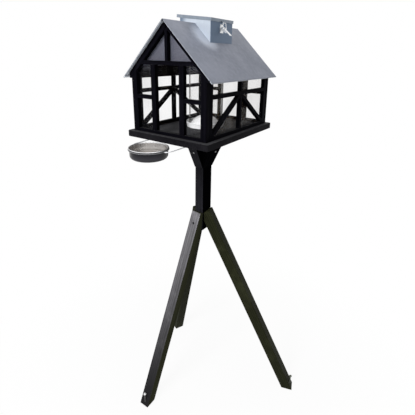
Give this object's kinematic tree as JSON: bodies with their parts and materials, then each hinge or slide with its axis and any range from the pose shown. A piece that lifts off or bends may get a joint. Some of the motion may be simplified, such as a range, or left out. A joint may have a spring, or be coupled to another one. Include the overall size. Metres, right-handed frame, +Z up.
{
  "type": "bird table",
  "caption": "Half-timbered bird feeding house with a folded sheet roof, a lidded seed chimney and a side water bowl, on a post with splayed legs.",
  "frame": {"origin": "on the ground, under the middle of the table's outline; the post stands 97.8 mm towards -X and 86.5 mm towards +Y of it", "axes": "+Z up, Y along the ridge of the roof with the water bowl at the -Y gable, X across the gable with the lid's latch on the +X side"},
  "size_m": [0.8738, 0.741, 1.975],
  "materials": {
    "timber": "near-black stained timber, satin",
    "stand_timber": "dark stained planed timber, satin",
    "zinc": "dull zinc sheet",
    "acrylic": "clear acrylic",
    "stainless": "polished stainless steel",
    "bright_steel": "bright plated steel",
    "white_plastic": "white moulded plastic"
  },
  "bodies": {
    "table": {"floor_board": "timber", "corner_post_front_left": "timber", "corner_post_front_right": "timber", "corner_post_back_left": "timber", "corner_post_back_right": "timber", "gable_post_front_left": "timber", "gable_post_front_right": "timber", "gable_post_back_left": "timber", "gable_post_back_right": "timber", "gable_rail_front_left": "timber", "gable_rail_front_right": "timber", "gable_rail_back_left": "timber", "gable_rail_back_right": "timber", "gable_sill_front": "timber", "gable_sill_back": "timber", "side_sill_left": "timber", "side_sill_right": "timber", "side_rail_left": "timber", "side_rail_right": "timber", "side_centre_post_left": "timber", "side_centre_post_right": "timber", "brace_left_front": "timber", "brace_left_back": "timber", "brace_right_front": "timber", "brace_right_back": "timber", "wall_plate_left": "timber", "wall_plate_right": "timber", "tie_beam_front": "timber", "tie_beam_back": "timber", "king_post_front": "timber", "king_post_back": "timber", "rafter_front_left": "timber", "rafter_front_right": "timber", "rafter_back_left": "timber", "rafter_back_right": "timber", "side_pane_left": "acrylic", "side_pane_right": "acrylic", "gable_pane_front": "acrylic", "gable_pane_back": "acrylic", "roof_sheet": "zinc", "chimney": "zinc", "latch_plate": "bright_steel", "silo_tube": "acrylic", "seed_tray": "white_plastic", "wire_holder": "bright_steel", "post": "stand_timber", "corbel_front": "stand_timber", "corbel_right": "stand_timber", "corbel_back": "stand_timber", "corbel_left": "stand_timber", "leg_front": "stand_timber", "leg_right": "stand_timber", "leg_left": "stand_timber"},
    "lid": {"lid": "zinc"},
    "latch_lever": {"latch_lever": "bright_steel"},
    "latch_loop": {"latch_loop": "bright_steel"},
    "bowl": {"bowl": "stainless"},
    "peg_front": {"peg_front": "bright_steel"},
    "peg_right": {"peg_right": "bright_steel"},
    "peg_left": {"peg_left": "bright_steel"}
  },
  "joints": [
    {"name": "lid_hinge", "type": "hinge", "parent": "table", "child": "lid", "pos_m": [-0.18417, 0.0955, 1.96853], "axis": [0, -1, 0], "range_deg": [0, 100]},
    {"name": "latch_lever_hinge", "type": "hinge", "parent": "table", "child": "latch_lever", "pos_m": [-0.00698, 0.0915, 1.91748], "axis": [0, 1, 0], "range_deg": [0, 48]},
    {"name": "latch_loop_hinge", "type": "hinge", "parent": "latch_lever", "child": "latch_loop", "pos_m": [-0.00008, 0.0915, 1.91169], "axis": [0, 1, 0], "range_deg": [0, 95]},
    {"name": "bowl_lift", "type": "slide", "parent": "table", "child": "bowl", "axis": [0, 0, 1], "range_m": [0, 0.06]},
    {"name": "peg_front_pull", "type": "slide", "parent": "table", "child": "peg_front", "axis": [0, 0, 1], "range_m": [0, 0.08]},
    {"name": "peg_right_pull", "type": "slide", "parent": "table", "child": "peg_right", "axis": [0, 0, 1], "range_m": [0, 0.08]},
    {"name": "peg_left_pull", "type": "slide", "parent": "table", "child": "peg_left", "axis": [0, 0, 1], "range_m": [0, 0.08]}
  ]
}
